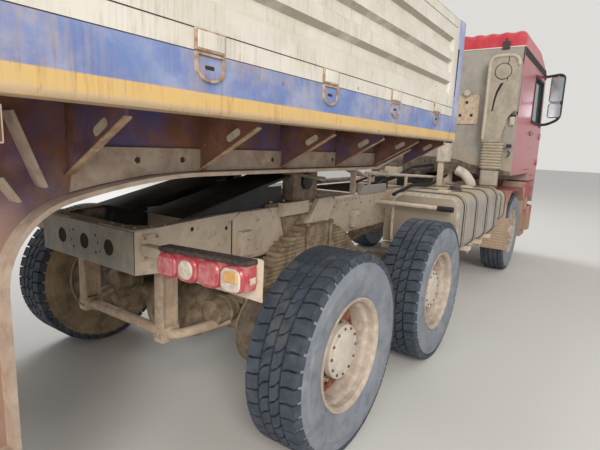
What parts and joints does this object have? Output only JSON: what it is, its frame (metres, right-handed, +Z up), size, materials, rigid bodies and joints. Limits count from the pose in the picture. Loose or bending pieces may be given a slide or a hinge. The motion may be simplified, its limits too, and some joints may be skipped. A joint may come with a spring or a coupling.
{
  "type": "semi truck",
  "caption": "Articulated lorry: a cab-over tractor with tandem drive axles and a drop-side semi-trailer that turns on its fifth wheel.",
  "frame": {"origin": "on the ground, at half of the lorry's length and width", "axes": "+X forwards, +Y to the lorry's left, +Z up"},
  "size_m": [16.866, 3.32, 3.047],
  "materials": {
    "frame_paint": "dusty",
    "axle_steel": "dusty",
    "coupling_steel": "greasy",
    "tank_aluminium": "dusty",
    "battery_plastic": "dusty",
    "engine_iron": "dull",
    "lamp_plastic": "dusty",
    "guard_steel": "dusty",
    "bumper_paint": "dusty",
    "arch_plastic": "dusty",
    "bellows_rubber": "dusty",
    "cab_paint": "dusty",
    "glass": "clear",
    "interior_fabric": "worn",
    "intake_plastic": "dusty",
    "mirror_plastic": "satin",
    "tyre_rubber": "worn",
    "rim_paint": "dusty",
    "tank_plastic": "dusty",
    "rail_paint": "faded and rusty",
    "trailer_paint": "rusty",
    "deck_wood": "worn",
    "board_paint": "dusty",
    "leg_steel": "dusty",
    "air_hose": "dusty"
  },
  "bodies": {
    "tractor": {"chassis_frame": "frame_paint", "front_axle": "axle_steel", "drive_bogie": "axle_steel", "fifth_wheel": "coupling_steel", "fuel_tank": "tank_aluminium", "urea_tank": "tank_plastic", "battery_box": "battery_plastic", "engine": "engine_iron", "tail_lamps": "lamp_plastic", "underrun_guard": "guard_steel", "bumper": "bumper_paint", "wheel_arches": "arch_plastic", "intake_bellows": "bellows_rubber"},
    "cab": {"cab_shell": "cab_paint", "cab_roof": "cab_paint", "cab_glass": "glass", "cab_interior": "interior_fabric", "air_intake": "intake_plastic"},
    "door_left": {"door_left": "cab_paint", "door_glass_left": "glass", "mirror_left": "mirror_plastic"},
    "knuckle_left": {"knuckle_left": "axle_steel"},
    "front_wheel_left": {"front_left_tyre": "tyre_rubber", "front_left_rim": "rim_paint"},
    "door_right": {"door_right": "cab_paint", "door_glass_right": "glass", "mirror_right": "mirror_plastic"},
    "knuckle_right": {"knuckle_right": "axle_steel"},
    "front_wheel_right": {"front_right_tyre": "tyre_rubber", "front_right_rim": "rim_paint"},
    "drive_front_wheel_left": {"drive_front_left_tyre": "tyre_rubber", "drive_front_left_rim": "rim_paint"},
    "drive_front_wheel_right": {"drive_front_right_tyre": "tyre_rubber", "drive_front_right_rim": "rim_paint"},
    "drive_rear_wheel_left": {"drive_rear_left_tyre": "tyre_rubber", "drive_rear_left_rim": "rim_paint"},
    "drive_rear_wheel_right": {"drive_rear_right_tyre": "tyre_rubber", "drive_rear_right_rim": "rim_paint"},
    "trailer_front_wheel_left": {"trailer_front_left_tyres": "tyre_rubber", "trailer_front_left_rims": "rim_paint"},
    "trailer_front_wheel_right": {"trailer_front_right_tyres": "tyre_rubber", "trailer_front_right_rims": "rim_paint"},
    "trailer_rear_wheel_left": {"trailer_rear_left_tyres": "tyre_rubber", "trailer_rear_left_rims": "rim_paint"},
    "trailer_rear_wheel_right": {"trailer_rear_right_tyres": "tyre_rubber", "trailer_rear_right_rims": "rim_paint"},
    "trailer": {"trailer_beams": "trailer_paint", "trailer_rails": "rail_paint", "trailer_deck": "deck_wood", "headboard": "board_paint", "front_side_boards": "board_paint", "trailer_bogie": "axle_steel", "landing_legs": "leg_steel", "trailer_tail": "guard_steel", "air_line": "air_hose"},
    "middle_board_left": {"middle_board_left": "board_paint"},
    "middle_board_right": {"middle_board_right": "board_paint"},
    "rear_board_left": {"rear_board_left": "board_paint"},
    "rear_board_right": {"rear_board_right": "board_paint"},
    "tailgate": {"tailgate": "board_paint"}
  },
  "joints": [
    {"name": "cab_tilt", "type": "hinge", "parent": "tractor", "child": "cab", "pos_m": [8.263, 0, 0.96], "axis": [0, 1, 0], "range_deg": [0, 60]},
    {"name": "trailer_turn", "type": "hinge", "parent": "tractor", "child": "trailer", "pos_m": [2.888, 0, 1.465], "axis": [0, 0, 1], "range_deg": [-90, 90], "deforming": ["air_line"]},
    {"name": "door_left_swing", "type": "hinge", "parent": "cab", "child": "door_left", "pos_m": [8.225, 1.212, 1.9], "axis": [0, 0, -1], "range_deg": [0, 75]},
    {"name": "door_right_swing", "type": "hinge", "parent": "cab", "child": "door_right", "pos_m": [8.225, -1.212, 1.9], "axis": [0, 0, 1], "range_deg": [0, 75]},
    {"name": "steer_left", "type": "hinge", "parent": "tractor", "child": "knuckle_left", "pos_m": [6.963, 0.92, 0.535], "axis": [0, 0, 1], "range_deg": [-38, 38]},
    {"name": "front_wheel_left_spin", "type": "hinge", "parent": "knuckle_left", "child": "front_wheel_left", "pos_m": [6.963, 1.025, 0.535], "axis": [0, 1, 0], "continuous": true},
    {"name": "steer_right", "type": "hinge", "parent": "tractor", "child": "knuckle_right", "pos_m": [6.963, -0.92, 0.535], "axis": [0, 0, 1], "range_deg": [-38, 38]},
    {"name": "front_wheel_right_spin", "type": "hinge", "parent": "knuckle_right", "child": "front_wheel_right", "pos_m": [6.963, -1.025, 0.535], "axis": [0, 1, 0], "continuous": true},
    {"name": "drive_front_wheel_left_spin", "type": "hinge", "parent": "tractor", "child": "drive_front_wheel_left", "pos_m": [3.588, 0.93, 0.535], "axis": [0, 1, 0], "continuous": true},
    {"name": "drive_front_wheel_right_spin", "type": "hinge", "parent": "tractor", "child": "drive_front_wheel_right", "pos_m": [3.588, -0.93, 0.535], "axis": [0, 1, 0], "continuous": true},
    {"name": "drive_rear_wheel_left_spin", "type": "hinge", "parent": "tractor", "child": "drive_rear_wheel_left", "pos_m": [2.188, 0.93, 0.535], "axis": [0, 1, 0], "continuous": true},
    {"name": "drive_rear_wheel_right_spin", "type": "hinge", "parent": "tractor", "child": "drive_rear_wheel_right", "pos_m": [2.188, -0.93, 0.535], "axis": [0, 1, 0], "continuous": true},
    {"name": "trailer_front_wheel_left_spin", "type": "hinge", "parent": "trailer", "child": "trailer_front_wheel_left", "pos_m": [-4.752, 0.906, 0.535], "axis": [0, 1, 0], "continuous": true},
    {"name": "trailer_front_wheel_right_spin", "type": "hinge", "parent": "trailer", "child": "trailer_front_wheel_right", "pos_m": [-4.752, -0.906, 0.535], "axis": [0, 1, 0], "continuous": true},
    {"name": "trailer_rear_wheel_left_spin", "type": "hinge", "parent": "trailer", "child": "trailer_rear_wheel_left", "pos_m": [-6.072, 0.906, 0.535], "axis": [0, 1, 0], "continuous": true},
    {"name": "trailer_rear_wheel_right_spin", "type": "hinge", "parent": "trailer", "child": "trailer_rear_wheel_right", "pos_m": [-6.072, -0.906, 0.535], "axis": [0, 1, 0], "continuous": true},
    {"name": "middle_board_left_drop", "type": "hinge", "parent": "trailer", "child": "middle_board_left", "pos_m": [-2.387, 1.262, 1.836], "axis": [-1, 0, 0], "range_deg": [0, 175]},
    {"name": "middle_board_right_drop", "type": "hinge", "parent": "trailer", "child": "middle_board_right", "pos_m": [-2.387, -1.262, 1.836], "axis": [1, 0, 0], "range_deg": [0, 175]},
    {"name": "rear_board_left_drop", "type": "hinge", "parent": "trailer", "child": "rear_board_left", "pos_m": [-6.437, 1.262, 1.836], "axis": [-1, 0, 0], "range_deg": [0, 175]},
    {"name": "rear_board_right_drop", "type": "hinge", "parent": "trailer", "child": "rear_board_right", "pos_m": [-6.437, -1.262, 1.836], "axis": [1, 0, 0], "range_deg": [0, 175]},
    {"name": "tailgate_drop", "type": "hinge", "parent": "trailer", "child": "tailgate", "pos_m": [-8.424, 0, 1.836], "axis": [0, -1, 0], "range_deg": [0, 175]}
  ],
  "couplings": [
    {"joint": "steer_right", "follows": "steer_left", "ratio": 1}
  ]
}
